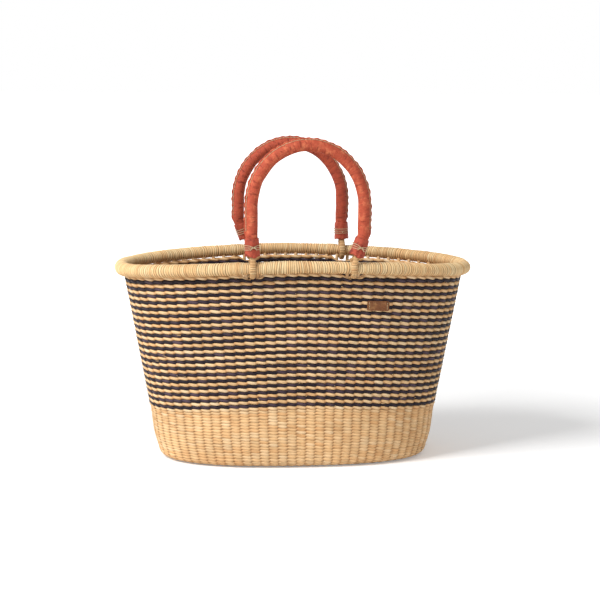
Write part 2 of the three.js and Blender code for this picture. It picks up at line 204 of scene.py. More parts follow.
def length(name, description, default):
    return FloatProperty(
        name=name, description=description, default=default, min=0, precision=4,
        subtype="DISTANCE", unit="LENGTH",
    )


def colour(name, description, default):
    return FloatVectorProperty(
        name=name, description=description, default=linear(default), size=4,
        min=0, max=1, subtype="COLOR",
    )


class ShopperSizes(bpy.types.PropertyGroup):
    """Sizes of the basket, the same as those of its solids"""

    rim_width: length("Rim width", "Outside of the rim, end to end", 450 * MM)
    rim_depth: length("Rim depth", "Outside of the rim, front to rear", 222 * MM)
    rim_height: length("Rim height", "Middle of the rim roll above the ground", 250 * MM)
    base_width: length("Base width", "Wall at the bottom, end to end", 340 * MM)
    base_depth: length("Base depth", "Wall at the bottom, front to rear", 196 * MM)
    roll_diameter: length("Rim roll", "Diameter of the bound rim", 16 * MM)
    row_pitch: length("Row pitch", "Height of a dark and a natural row together", 8.15 * MM)
    leg_spacing: length("Leg spacing", "Between a handle's two legs", 136 * MM)
    handle_diameter: length("Handle", "Diameter of a sleeved handle", 14.6 * MM)
    stakes: IntProperty(
        name="Stakes", description="Upright straws round the wall", default=76, min=8,
    )
    dark_rows: IntProperty(
        name="Dark rows", description="Rows of dyed straw", default=20, min=1,
    )
    wraps: IntProperty(
        name="Wraps", description="Turns of straw round the whole rim", default=430, min=50,
    )


class ShopperColours(bpy.types.PropertyGroup):
    """Colours of the basket's straw, leather and thread"""

    # The palest and deepest straw also carry painted highlight and shade: paler in the middle of
    # each float, darker at its ends and under the rim
    straw_light: colour("Light straw", "Palest natural straw", "#fbdcb0")
    straw_mid: colour("Straw", "Most of the natural straw", "#f3c892")
    straw_deep: colour("Deep straw", "Darkest natural straw", "#dfa267")
    # Painted shade: the colour that crossings, grooves and undersides of natural straw are
    # darkened towards
    straw_pit_shade: colour("Straw in pits", "Natural straw where strands cross", "#7c431f")
    # The worn dyed colour also gives the painted highlight in the middle of each dark float
    dyed_light: colour("Dyed straw, worn", "Where the dye took least", "#54434d")
    dyed_dark: colour("Dyed straw", "Most of the dyed straw", "#271c23")
    leather: colour("Sleeve leather", "Terracotta leather of the handles", "#bb5136")
    # The creased colour is painted shade in the leather's creases, also mixed into darker patches
    leather_shade: colour("Sleeve leather, creased", "Leather in its wrinkles", "#7f2a19")
    cuff: colour("Cuff leather", "Darker leather of the cuffs", "#b24a33")
    tag: colour("Tag leather", "Brown leather of the tag", "#7d4c2a")
    thread: colour("Thread", "Waxed thread", "#dcc39a")


def dice(kind, number=0):
    """Random numbers of their own for each piece, the same in every run."""
    return np.random.default_rng(SEEDS[kind] + number)


def circle(count):
    """Evenly spaced angles once round."""
    return np.arange(count) * (2 * math.pi / count)


def wrapped(angle):
    """The same angle between minus and plus half a turn."""
    return np.mod(angle + math.pi, 2 * math.pi) - math.pi


def unit(vectors):
    return vectors / np.linalg.norm(vectors, axis=1)[:, None]


def travelled(line):
    """Distance from the first point of a line to each of its points."""
    return np.concatenate([[0], np.cumsum(np.linalg.norm(np.diff(line, axis=0), axis=1))])


class Form:
    """Shape of the basket: oval plan, sloping wall and the places of the stakes."""

    def __init__(self, sizes):
        self.sizes = sizes
        self.roll = sizes.roll_diameter / 2
        self.wall_top = sizes.rim_height - self.roll - OPENWORK_GAP
        self.rim_line = sizes.rim_width / 2 - self.roll
        self.top_half = self.rim_line - RIM_OVERHANG + WALL / 2
        self.base_half = sizes.base_width / 2
        self.band = self.dark_height(sizes.dark_rows - 1)
        self.corner = BASE_CORNER - WALL / 2
        self.corner_length = self.corner * math.pi / 2
        rise = self.wall_top - BASE_CORNER
        self.slope = (self.top_half - self.base_half) / rise
        self.stretch = math.hypot(1, self.slope)
        self.turns = np.linspace(-math.pi / 2, 3 * math.pi / 2, 8193)
        ring = self.on_oval(self.top_half - WALL / 2, self.turns, self.wall_top)
        self.travel = travelled(ring)
        self.pitch = self.travel[-1] / sizes.stakes

    def dark_height(self, row):
        return self.wall_top - TOP_ROW - row * self.sizes.row_pitch

    def on_oval(self, half, turn, z):
        """Points of the oval plan, which hangs lower at its two ends."""
        sizes = self.sizes
        share = np.clip((z - BASE_CORNER) / (self.wall_top - BASE_CORNER), 0, 1)
        bottom = (sizes.base_width - sizes.base_depth) / 2
        loss = bottom + share * ((sizes.rim_width - sizes.rim_depth) / 2 - bottom)
        c, s = np.cos(turn), np.sin(turn)
        across = np.sign(c) * np.abs(c) ** (2 / PLAN_POWER)
        deep = np.sign(s) * np.abs(s) ** (2 / PLAN_POWER)
        droop = END_DROOP * np.clip(z / self.band, 0, 1) * np.abs(across) ** DROOP_POWER
        return np.stack(np.broadcast_arrays(half * across, (half - loss) * deep, z - droop), -1)

    def turn_at(self, stake):
        """Turn round the plan at a stake number, counted to the right from the front's middle."""
        count = self.sizes.stakes
        return np.interp(np.mod(stake, count) * self.pitch, self.travel, self.turns)

    def beside_loops(self, places):
        """1 at the stake numbers where a loop presses the rows down, 0 away from them."""
        (a, b), (c, d) = LOOP_GAPS[FRONT], LOOP_GAPS[REAR]
        half, count = self.sizes.stakes / 2, self.sizes.stakes
        near = [np.mod(places - at + half, count) - half for at in (-a, b, half + c, half - d)]
        return np.exp(-(np.min(np.abs(near), axis=0) / LOOP_ROOM) ** 4)

    def round_rim(self, radius, around, stake):
        """Points round the rim roll by radius, angle about its middle and stake number."""
        return self.on_oval(
            self.rim_line + radius * np.cos(around), self.turn_at(stake),
            self.sizes.rim_height + radius * np.sin(around),
        )

    def path_to(self, z):
        """Distance up the wall's section, from the bottom of its corner to height z."""
        return self.corner_length + (z - BASE_CORNER) * self.stretch

    def on_wall(self, path, out, stake):
        """Points by distance up the section, offset outwards and stake number."""
        angle = np.clip(path / self.corner, 0, math.pi / 2)
        up = np.maximum(path - self.corner_length, 0) / self.stretch
        floor = np.minimum(path, 0)
        half = self.base_half - BASE_CORNER + self.corner * np.sin(angle) + up * self.slope
        # The wall bellies out a little over its bottom corner
        belly = BELLY * np.exp(-((up - BELLY_HEIGHT) / BELLY_SPREAD) ** 2)
        half = half + belly * np.sin(angle)
        z = BASE_CORNER - self.corner * np.cos(angle) + up
        # What would reach under the ground is pressed flat on it
        return self.on_oval(
            half + floor + out * np.sin(angle), self.turn_at(stake),
            np.maximum(z - out * np.cos(angle), 0),
        )


class Skin:
    """Collects tubes of points and makes them one mesh with faces turned outwards."""

    def __init__(self):
        self.points, self.corners, self.totals = [], [], []
        self.uvs, self.tints, self.pits = [], [], []
        self.count = 0

    def tube(self, points, u, side, start=0.0, ring=False, tint=0.5, pit=0.0, wound=False):
        """Adds a tube: points[i, j] goes along by i and round by j.

        u is the distance along, side the width of one face, start where the faces' pattern
        starts. The fibres go along the tube, or round it if it is wound."""
        n, m = points.shape[:2]
        v = np.arange(m + 1) * side + start
        i, j = np.meshgrid(np.arange(n if ring else n - 1), np.arange(m), indexing="ij")
        i, j = i.ravel(), j.ravel()
        ahead, beside = (i + 1) % n, (j + 1) % m
        quads = np.stack([i * m + j, i * m + beside, ahead * m + beside, ahead * m + j], 1)
        places = np.stack([
            np.stack([u[i], v[j]], 1), np.stack([u[i], v[j + 1]], 1),
            np.stack([u[i + 1], v[j + 1]], 1), np.stack([u[i + 1], v[j]], 1),
        ], 1)
        if wound:
            places = places[..., ::-1]
        flat = points.reshape(-1, 3)
        a, b, c, d = (flat[quads[:, k]] for k in range(4))
        volume = (np.cross(a, b) * c).sum() + (np.cross(a, c) * d).sum()
        caps = [] if ring else [np.arange(m)[::-1], (n - 1) * m + np.arange(m)]
        for cap in caps:
            first = flat[cap[0]]
            for p, q in zip(cap[1:-1], cap[2:]):
                volume += np.dot(np.cross(first, flat[p]), flat[q])
        if volume < 0:
            quads, places = quads[:, ::-1], places[:, ::-1]
            caps = [cap[::-1] for cap in caps]
        self.corners.append(quads.ravel() + self.count)
        self.totals.append(np.full(len(quads), 4))
        self.uvs.append(places.reshape(-1, 2))
        for cap in caps:
            self.corners.append(cap + self.count)
            self.totals.append(np.array([m]))
            self.uvs.append(np.stack([np.full(m, u[0]), v[cap % m]], 1))
        self.points.append(flat)
        # Per point: a tone, which some pieces also give painted highlight and shade, and a share
        # of painted shade for crossings, grooves and undersides
        self.tints.append(np.broadcast_to(tint, (n, m)).ravel())
        self.pits.append(np.broadcast_to(pit, (n, m)).ravel())
        self.count += n * m

    def make(self, name):
        corners, totals = np.concatenate(self.corners), np.concatenate(self.totals)
        mesh = bpy.data.meshes.new(name)
        mesh.vertices.add(self.count)
        mesh.vertices.foreach_set("co", np.concatenate(self.points).astype(np.float32).ravel())
        mesh.loops.add(len(corners))
        mesh.loops.foreach_set("vertex_index", corners.astype(np.int32))
        mesh.polygons.add(len(totals))
        starts = np.concatenate([[0], np.cumsum(totals)[:-1]])
        mesh.polygons.foreach_set("loop_start", starts.astype(np.int32))
        mesh.update(calc_edges=True)
        layer = mesh.uv_layers.new(name="fibre")
        layer.data.foreach_set("uv", np.concatenate(self.uvs).astype(np.float32).ravel())
        for key, values in (("tint", self.tints), ("pit", self.pits)):
            attribute = mesh.attributes.new(key, "FLOAT", "POINT")
            attribute.data.foreach_set("value", np.concatenate(values).astype(np.float32))
        mesh.polygons.foreach_set("use_smooth", np.ones(len(totals), bool))
        mesh.validate()
        piece = bpy.data.objects.new(name, mesh)
        bpy.context.scene.collection.objects.link(piece)
        return piece


def dress(piece, body, slot, *nodes, finish=None):
    """Gives a piece the material of its slot or its own finish, puts it under its body, and hides
    the solids that it stands for.
    """
    piece.data.materials.clear()
    piece.data.materials.append(bpy.data.materials[finish or FINISHES[slot]])
    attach(piece, body)
    if nodes:
        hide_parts(*nodes)
    return piece


def add(tree, kind, feeds=None, stops=None, **settings):
    """Adds a node with its settings; feeds gives each input a value or another node's output."""
    node = tree.nodes.new(kind)
    for key, value in settings.items():
        setattr(node, key, value)
    for key, value in (feeds or {}).items():
        if isinstance(value, bpy.types.NodeSocket):
            tree.links.new(value, node.inputs[key])
        else:
            node.inputs[key].default_value = value
    if stops:
        elements = node.color_ramp.elements
        while len(elements) < len(stops):
            elements.new(1.0)
        for element, (place, value) in zip(elements, stops):
            element.position = place
            element.color = value
    return node


def new_tree(name):
    material = bpy.data.materials.new(name)
    material.use_nodes = True
    material.node_tree.nodes.clear()
    return material.node_tree


def grey(value):
    return [value, value, value, 1.0]


def mixed(a, b, share):
    return [x + (y - x) * share for x, y in zip(a, b)]


def straw(name, shades, pit, roughness, fibre, relief):
    """Straw: long fibres down each strand, every length its own shade of colour, and painted
    shade browning it where it dips.
    """
    deep, mid, light = shades
    tree = new_tree(name)
    uv = add(tree, "ShaderNodeUVMap", uv_map="fibre")
    # Real fibres are about 0.2 mm wide. They are drawn wider here, so that they show
    drawn_out = add(tree, "ShaderNodeMapping", {
        "Vector": uv.outputs["UV"], "Scale": (1 / (18 * MM), 1 / fibre, 1),
    })
    grain = add(tree, "ShaderNodeTexNoise", {
        "Vector": drawn_out.outputs["Vector"], "Scale": 1.0, "Detail": 3.0, "Roughness": 0.6,
    }, noise_dimensions="2D")
    tint = add(tree, "ShaderNodeAttribute", attribute_name="tint")
    shade = add(tree, "ShaderNodeValToRGB", {"Fac": tint.outputs["Fac"]}, [
        (0.0, deep), (0.5, mid), (1.0, light),
    ])
    streak = add(tree, "ShaderNodeValToRGB", {"Fac": grain.outputs["Fac"]}, [
        (0.3, grey(0.68)), (0.46, grey(0.93)), (0.66, grey(1.0)),
    ])
    streaked = add(tree, "ShaderNodeMix", {
        0: 1.0, 6: shade.outputs["Color"], 7: streak.outputs["Color"],
    }, data_type="RGBA", blend_type="MULTIPLY")
    # Sun and handling leave patches some 40 mm across
    place = add(tree, "ShaderNodeTexCoord")
    patch = add(tree, "ShaderNodeTexNoise", {
        "Vector": place.outputs["Object"], "Scale": 1 / (40 * MM), "Detail": 2.0,
    })
    faded = add(tree, "ShaderNodeValToRGB", {"Fac": patch.outputs["Fac"]}, [
        (0.35, grey(0.88)), (0.65, grey(1.0)),
    ])
    patched = add(tree, "ShaderNodeMix", {
        0: 1.0, 6: streaked.outputs[2], 7: faded.outputs["Color"],
    }, data_type="RGBA", blend_type="MULTIPLY")
    # Painted shade: the colour is mixed towards the dark colour given for pits, by each point's
    # share of painted shade
    dip = add(tree, "ShaderNodeAttribute", attribute_name="pit")
    pit_shaded = add(tree, "ShaderNodeMix", {
        0: dip.outputs["Fac"], 6: patched.outputs[2], 7: pit,
    }, data_type="RGBA")
    bump = add(tree, "ShaderNodeBump", {
        "Height": grain.outputs["Fac"], "Distance": relief, "Strength": 0.7,
    })
    shader = add(tree, "ShaderNodeBsdfPrincipled", {
        "Base Color": pit_shaded.outputs[2], "Roughness": roughness, "IOR": 1.45,
        "Specular IOR Level": 0.22, "Normal": bump.outputs["Normal"],
    })
    add(tree, "ShaderNodeOutputMaterial", {"Surface": shader.outputs["BSDF"]})


def leather(name, colours, roughness, crease, follows_length):
    """Soft matt leather: fine grain, creases across its length with painted shade in them, paler
    where it is rubbed.
    """
    shade, main, rubbed = colours
    tree = new_tree(name)
    place = add(tree, "ShaderNodeTexCoord")
    uv = add(tree, "ShaderNodeUVMap", uv_map="fibre")
    along, across = crease
    source = uv.outputs["UV"] if follows_length else place.outputs["Object"]
    scale = (1 / along, 1 / across, 1) if follows_length else (1 / across, 1 / across, 1 / along)
    drawn_out = add(tree, "ShaderNodeMapping", {"Vector": source, "Scale": scale})
    creases = add(tree, "ShaderNodeTexNoise", {
        "Vector": drawn_out.outputs["Vector"], "Scale": 1.0, "Detail": 4.0,
        "Roughness": 0.55, "Distortion": 0.7,
    })
    # Pores are about 0.3 mm. They are drawn at 0.9 mm, so that they show
    pores = add(tree, "ShaderNodeTexVoronoi", {
        "Vector": place.outputs["Object"], "Scale": 1 / (0.9 * MM),
    })
    patch = add(tree, "ShaderNodeTexNoise", {
        "Vector": place.outputs["Object"], "Scale": 1 / (7 * MM), "Detail": 5.0,
        "Roughness": 0.7,
    })
    base = add(tree, "ShaderNodeValToRGB", {"Fac": patch.outputs["Fac"]}, [
        (0.34, mixed(main, shade, 0.3)), (0.5, main), (0.68, rubbed),
    ])
    # Painted shade: the creases are darkened towards the shade colour
    fold = add(tree, "ShaderNodeValToRGB", {"Fac": creases.outputs["Fac"]}, [
        (0.34, grey(0.8)), (0.47, grey(0.0)),
    ])
    creased = add(tree, "ShaderNodeMix", {
        0: fold.outputs["Color"], 6: base.outputs["Color"], 7: shade,
    }, data_type="RGBA")
    height = add(tree, "ShaderNodeMath", {
        0: creases.outputs["Fac"], 1: pores.outputs["Distance"],
    }, operation="ADD")
    bump = add(tree, "ShaderNodeBump", {
        "Height": height.outputs[0], "Distance": 0.5 * MM, "Strength": 0.7,
    })
    matt = add(tree, "ShaderNodeMapRange", {
        "Value": creases.outputs["Fac"], "To Min": roughness + 0.12, "To Max": roughness - 0.06,
    })
    shader = add(tree, "ShaderNodeBsdfPrincipled", {
        "Base Color": creased.outputs[2], "Roughness": matt.outputs[0], "IOR": 1.5,
        "Specular IOR Level": 0.3, "Normal": bump.outputs["Normal"],
    })
    add(tree, "ShaderNodeOutputMaterial", {"Surface": shader.outputs["BSDF"]})


def waxed_thread(name, main):
    """Twisted, waxed thread: slanting plies with painted shade in the grooves between them, and a
    slight shine.
    """
    tree = new_tree(name)
    place = add(tree, "ShaderNodeTexCoord")
    plies = add(tree, "ShaderNodeTexWave", {
        "Vector": place.outputs["Object"], "Scale": 1 / (2.4 * MM), "Distortion": 1.5,
    }, bands_direction="DIAGONAL")
    shade = add(tree, "ShaderNodeValToRGB", {"Fac": plies.outputs["Fac"]}, [
        (0.0, [c * 0.6 for c in main[:3]] + [1.0]), (0.6, main),
    ])
    bump = add(tree, "ShaderNodeBump", {"Height": plies.outputs["Fac"], "Distance": 0.15 * MM})
    shader = add(tree, "ShaderNodeBsdfPrincipled", {
        "Base Color": shade.outputs["Color"], "Roughness": 0.5, "Normal": bump.outputs["Normal"],
    })
    add(tree, "ShaderNodeOutputMaterial", {"Surface": shader.outputs["BSDF"]})


class MakeFinishes(bpy.types.Operator):
    """Make the straw, leather and thread materials"""

    bl_idname = "shopper.finishes"
    bl_label = "Finishes"

    def execute(self, context):
        look = context.scene.shopper_colours
        light, mid, deep = (list(c) for c in (look.straw_light, look.straw_mid, look.straw_deep))
        pit = list(look.straw_pit_shade)
        # Unbleached straw twined by hand: each float a slightly different blond
        straw(
            "twined_natural_straw", (deep, mid, light), pit, roughness=0.62, fibre=1.0 * MM,
            relief=0.25 * MM,
        )
        # Boiled in dye: the shine stays, the colour is uneven and nearly black
        straw(
            "twined_dyed_straw",
            (linear("#1d171f"), list(look.dyed_dark), list(look.dyed_light)),
            linear("#120e13"), roughness=0.5, fibre=1.0 * MM, relief=0.25 * MM,
        )
        # Split straw wound tight: paler and smoother than the twined rows
        straw(
            "wound_split_straw", (mixed(deep, mid, 0.5), linear("#fbd096"), linear("#ffe2ae")),
            linear("#74441e"), roughness=0.5, fibre=0.7 * MM, relief=0.15 * MM,
        )
        # Whole stalks laid side by side inside the rim and the handles
        straw(
            "bundled_stalks", (deep, deep, mid), pit, roughness=0.7, fibre=1.2 * MM,
            relief=0.3 * MM,
        )
        main, shade = list(look.leather), list(look.leather_shade)
        # Thin goatskin, dyed and pulled tight over a rope, so that it creases across
        leather(
            "front_dyed_goatskin", (shade, main, linear("#d97852")), roughness=0.6,
            crease=(3 * MM, 9 * MM), follows_length=True,
        )
        # The rear handle gets a darker copy of the same leather: painted shade for the less lit
        # handle
        leather(
            "rear_dyed_goatskin", (linear("#6d2215"), mixed(main, shade, 0.25), main),
            roughness=0.6, crease=(3 * MM, 9 * MM), follows_length=True,
        )
        # The same skin doubled and bound wet: darker, rubbed in patches, with painted shade in
        # its folds
        leather(
            "bound_goatskin", (linear("#641c12"), list(look.cuff), linear("#bb5940")),
            roughness=0.5, crease=(6 * MM, 9 * MM), follows_length=False,
        )
        # Thick vegetable-tanned hide, cut and pressed flat
        leather(
            "pressed_hide", (linear("#5f3a1e"), list(look.tag), linear("#a87648")),
            roughness=0.5, crease=(9 * MM, 9 * MM), follows_length=False,
        )
        waxed_thread("waxed_linen_thread", list(look.thread))
        return {"FINISHED"}


def wavering(rng, count, places, spread, step=1):
    """Closed run of random values, one every step stakes, read between them at the places."""
    knots = rng.uniform(-spread, spread, max(int(count // step), 2))
    return np.interp(
        np.mod(places, count), np.arange(len(knots) + 1) * (count / len(knots)),
        np.append(knots, knots[0]),
    )


def twine_row(
    skin, form, path, rng, drop, tall, thick, steps=ROW_STEPS, sides=6, span=1, reach=1.5,
    pinch=0.3, paling=0.55, column=0.2, spread=0.55,
):
    """One row: two strands twisting about each other, outside the stakes by turns.

    In mm, drop is how far a strand swings up and down, reach how far it swings out, and tall
    and thick are half its section. pinch narrows it where it dives in, the paling share paints
    a highlight in the middle of each float, spread makes the floats differ, and a high column
    joins the painted shade of all rows where strands dive in, where a low one leaves dots.
    A strand passes span stakes, then dives in."""
    count = form.sizes.stakes
    places = np.arange(count // span * steps) * (span / steps)
    # Work done by hand: the row, its strands and their colour all waver
    waver = partial(wavering, rng, count, places)
    loose = waver(0.25 * MM, 3)
    around = circle(sides)
    for strand in (0, 1):
        turn = math.pi * (places / span + strand)
        c, s = np.cos(turn), np.sin(turn)
        # Each strand stays outside for more than half its way, so where two meet they lie
        # one over the other on the outside, as in a rope
        outside = (c + STAY_OUT) / (1 + STAY_OUT)
        bulge = np.sign(outside) * np.abs(outside) ** 0.5
        swell = 1 + waver(0.12)
        out = (reach * MM + waver(0.15 * MM)) * bulge
        up = loose - drop * MM * (1 + waver(0.2)) * s
        height = tall * MM * swell * (1 - pinch * (1 - np.abs(c)) ** 2)
        depth = thick * MM * (0.8 + 0.2 * np.abs(c))
        outs = out[:, None] + depth[:, None] * np.cos(around)
        ups = path + up[:, None] + height[:, None] * np.sin(around)
        points = form.on_wall(ups, outs, np.broadcast_to(places[:, None], outs.shape))
        lengths = np.arange(len(places) + 1) * (span / steps) * form.pitch
        each = rng.uniform(0, 1, count // (2 * span))
        number = np.floor((places / span - strand + 1) / 2).astype(int) % len(each)
        # Painted highlight: palest in the middle of each float, darker towards its ends
        tint = 0.42 + spread * each[number] ** 3 + waver(0.22, 4)
        tint = np.clip(tint + paling * (np.abs(c) - 0.6), 0, 1)
        # Painted shade: dark where the strands dive in, and along the lower edge that slips under
        dive = (1 - np.abs(c)) ** 2.5
        under = np.clip(0.35 - 1.75 * column - np.sin(around), 0, 1)
        under = under + 1.75 * column * np.clip(np.sin(around), 0, 1)
        edge = 0.4 * np.clip(-s * np.sign(c), 0, 1) * np.abs(c) ** 0.5 * (0.7 + column)
        notch = dive[:, None] * (column + (1.1 - column) * under)
        pit = np.clip(notch + edge[:, None] * under, 0, 0.95)
        skin.tube(
            points, lengths + rng.uniform(0, 1), 2 * math.pi * WEFT_RADIUS / sides,
            rng.uniform(0, 1), ring=True, tint=tint[:, None], pit=pit,
        )


class MakeStripedBand(bpy.types.Operator):
    """Twine the dyed rows and the natural rows between them"""

    bl_idname = "shopper.striped_band"
    bl_label = "Striped band"

    def execute(self, context):
        form = Form(context.scene.shopper_sizes)
        rows = form.sizes.dark_rows
        places = np.arange(form.sizes.stakes * ROW_STEPS) / ROW_STEPS
        pressed = form.beside_loops(places)
        for row in range(rows):
            rng = dice("dark", row)
            skin = Skin()
            path, look = form.path_to(form.dark_height(row)), DARK_ROW
            if row == 0:
                path = path + (DARK_PUSHED_UP - DARK_PRESSED_BY * pressed)[:, None]
                look = {**DARK_ROW, "tall": 2.3}
            twine_row(skin, form, path, rng, **look)
            name = f"dark_row_{row + 1:02d}"
            dress(skin.make(f"twined_{name}"), "basket", "dark_straw", name)
        halves = {"upper": range(rows // 2), "lower": range(rows // 2, rows + 1)}
        for name, group in halves.items():
            skin = Skin()
            for row in group:
                rng = dice("natural", row)
                path = form.path_to(form.dark_height(row) + form.sizes.row_pitch / 2)
                if row:
                    twine_row(skin, form, path, rng, **NATURAL_ROW)
                    continue
                # The top row lies unevenly in the gap under the roll, thinner beside the loops
                waver = wavering(rng, form.sizes.stakes, places, 0.6 * MM, 1.5)
                rise = (TOP_PUSHED_UP + waver) * (1 - pressed) - TOP_PRESSED_DOWN * pressed
                twine_row(
                    skin, form, path + rise[:, None], rng, tall=2.1 - 0.9 * pressed,
                    thick=1.05 - 0.35 * pressed, reach=1.5 - 1.0 * pressed, **TOP_NATURAL_ROW,
                )
            piece = skin.make(f"twined_natural_rows_{name}")
            dress(piece, "basket", "natural_straw", "wall")
        return {"FINISHED"}


class MakePlainBand(bpy.types.Operator):
    """Twine the natural rows below the stripes and round the bottom corner"""

    bl_idname = "shopper.plain_band"
    bl_label = "Plain band"

    def execute(self, context):
        form = Form(context.scene.shopper_sizes)
        top = form.path_to(form.band - PLAIN_START)
        rows = round(top / PLAIN_PITCH)
        skin = Skin()
        for row in range(rows):
            rng = dice("plain", row)
            path = top * (row + 0.5) / rows
            twine_row(skin, form, path, rng, **PLAIN_ROW)
            if row in (rows // 2, rows - 1):
                half = "lower" if row == rows // 2 else "upper"
                piece = skin.make(f"twined_plain_band_{half}")
                dress(piece, "basket", "natural_straw", "wall")
                skin = Skin()
        return {"FINISHED"}


class MakeMat(bpy.types.Operator):
    """Twine the oval mat that closes the bottom, round and round to its middle"""

    bl_idname = "shopper.mat"
    bl_label = "Mat"

    def execute(self, context):
        form = Form(context.scene.shopper_sizes)
        depth = form.sizes.base_depth / 2 - BASE_CORNER
        rows = int(depth / MAT_PITCH)
        skin = Skin()
        for row in range(rows):
            rng = dice("mat", row)
            path = -depth * (row + 0.5) / rows
            span = 1 if row < rows // 2 else 2
            twine_row(skin, form, path, rng, steps=4 * span, span=span, **MAT_ROW)
        dress(skin.make("twined_mat"), "basket", "natural_straw", "base_mat")
        return {"FINISHED"}


class MakeStakes(bpy.types.Operator):
    """Set the stakes: flat straws from the mat's middle, up the wall and into the rim"""

    bl_idname = "shopper.stakes"
    bl_label = "Stakes"

    def execute(self, context):
        form = Form(context.scene.shopper_sizes)
        rng = dice("stakes")
        skin = Skin()
        top = form.path_to(form.wall_top + INTO_RIM)
        emerge = form.path_to(form.wall_top - BARE_FROM)
        paths = np.concatenate([
            np.linspace(-0.5, 0, 4)[:-1] * form.sizes.base_depth / 2,
            np.linspace(0, form.corner_length, 5)[:-1],
            np.linspace(form.corner_length, emerge, 8),
            np.linspace(form.path_to(form.wall_top - BARE_FROM / 2), top, 4),
        ])
        # Flat between the rows and rounder where they stand bare; painted shade darkens them
        # among the rows, much less where they stand bare
        bare = np.clip((paths - emerge) / BARE_FROM, 0, 1)
        around = circle(6)
        wide = (STAKE_HALF_WIDTH + 0.3 * MM * bare) / form.pitch
        thick = STAKE_HALF_THICKNESS + 0.9 * MM * bare
        lengths = paths - paths[0]
        for stake in range(form.sizes.stakes):
            across = stake + wide[:, None] * np.cos(around)
            outs = thick[:, None] * np.sin(around)
            points = form.on_wall(np.broadcast_to(paths[:, None], outs.shape), outs, across)
            skin.tube(
                points, lengths + stake, 1.5 * MM, tint=rng.uniform(0.3, 0.9),
                pit=(0.5 - 0.35 * bare)[:, None],
            )
        dress(skin.make("stakes"), "basket", "natural_straw", "wall")
        return {"FINISHED"}


class MakeRim(bpy.types.Operator):
    """Lay the bundle of stalks round the rim and wind it closely with split straw"""

    bl_idname = "shopper.rim"
    bl_label = "Rim"

    def execute(self, context):
        form = Form(context.scene.shopper_sizes)
        sizes = form.sizes
        places = np.arange(sizes.stakes * 2) / 2
        radius = np.tile(BUNDLE_RADIUS, 16)
        points = form.round_rim(radius, circle(32), places[:, None])
        skin = Skin()
        skin.tube(
            points, np.arange(len(places) + 1) * form.pitch / 2, 1.2 * MM, ring=True, tint=0.4,
        )
        dress(skin.make("rim_stalk_bundle"), "basket", "bundle_straw", "rim_bundle")

        rng = dice("rim")
        steps, sides = 4, 24
        index = np.arange(sizes.wraps * steps)
        wrap = index // steps
        around = circle(sides)
        width = sizes.stakes / sizes.wraps
        # No two turns are equally wide, or lean alike
        uneven = np.cumsum(rng.uniform(0.6, 1.4, sizes.wraps))
        starts = np.concatenate([[0], uneven]) / uneven[-1] * sizes.stakes
        share = (index % steps) / steps
        middle = starts[wrap] + share * (starts[wrap + 1] - starts[wrap])
        waver = partial(wavering, rng, sizes.stakes, middle)
        lean = (0.2 + waver(0.5, 2)) * width
        stake = middle[:, None] + lean[:, None] * np.cos(around + 1.4)
        ridge = 1 - (2 * share - 1) ** 2
        # Uneven all round, and pressed in under the loops
        swell = waver(BINDING_SWELL, 1.5)
        swell = swell - (BINDING_PRESSED + swell) * form.beside_loops(middle)
        proud = rng.uniform(-0.18, 0.18, sizes.wraps)[wrap] * MM
        lumps = 0.2 * MM * np.cos(around * 2 + waver(3, 4)[:, None])
        radius = (BINDING_RADIUS + BINDING_RIDGE * ridge + swell + proud)[:, None] + lumps
        points = form.round_rim(radius, around, stake)
        skin = Skin()
        tint = np.clip(rng.normal(0.52, 0.17, sizes.wraps), 0, 1)[wrap]
        tint = np.clip(tint + waver(0.2, 2), 0, 1)
        depth = rng.uniform(0.5, 1, sizes.wraps)[wrap]
        # The first of the four points over a turn is the groove, darkened with painted shade
        pit = depth * np.array([0.95, 0.12, 0.0, 0.12])[index % steps]
        # Painted shade: darker and browner below, and the grooves there deeper in shade
        below = np.clip(-np.sin(around + 0.4), 0, 1)
        skin.tube(
            points, np.arange(len(index) + 1) * (form.travel[-1] / len(index)), 2 * MM,
            ring=True, wound=True, tint=np.clip(tint[:, None] + 0.12 - 0.4 * below, 0, 1),
            pit=np.clip(pit[:, None] * (1.05 + 0.6 * below), 0, 1),
        )
        dress(skin.make("wound_rim_binding"), "basket", "binding_straw", "rim_binding")
        return {"FINISHED"}


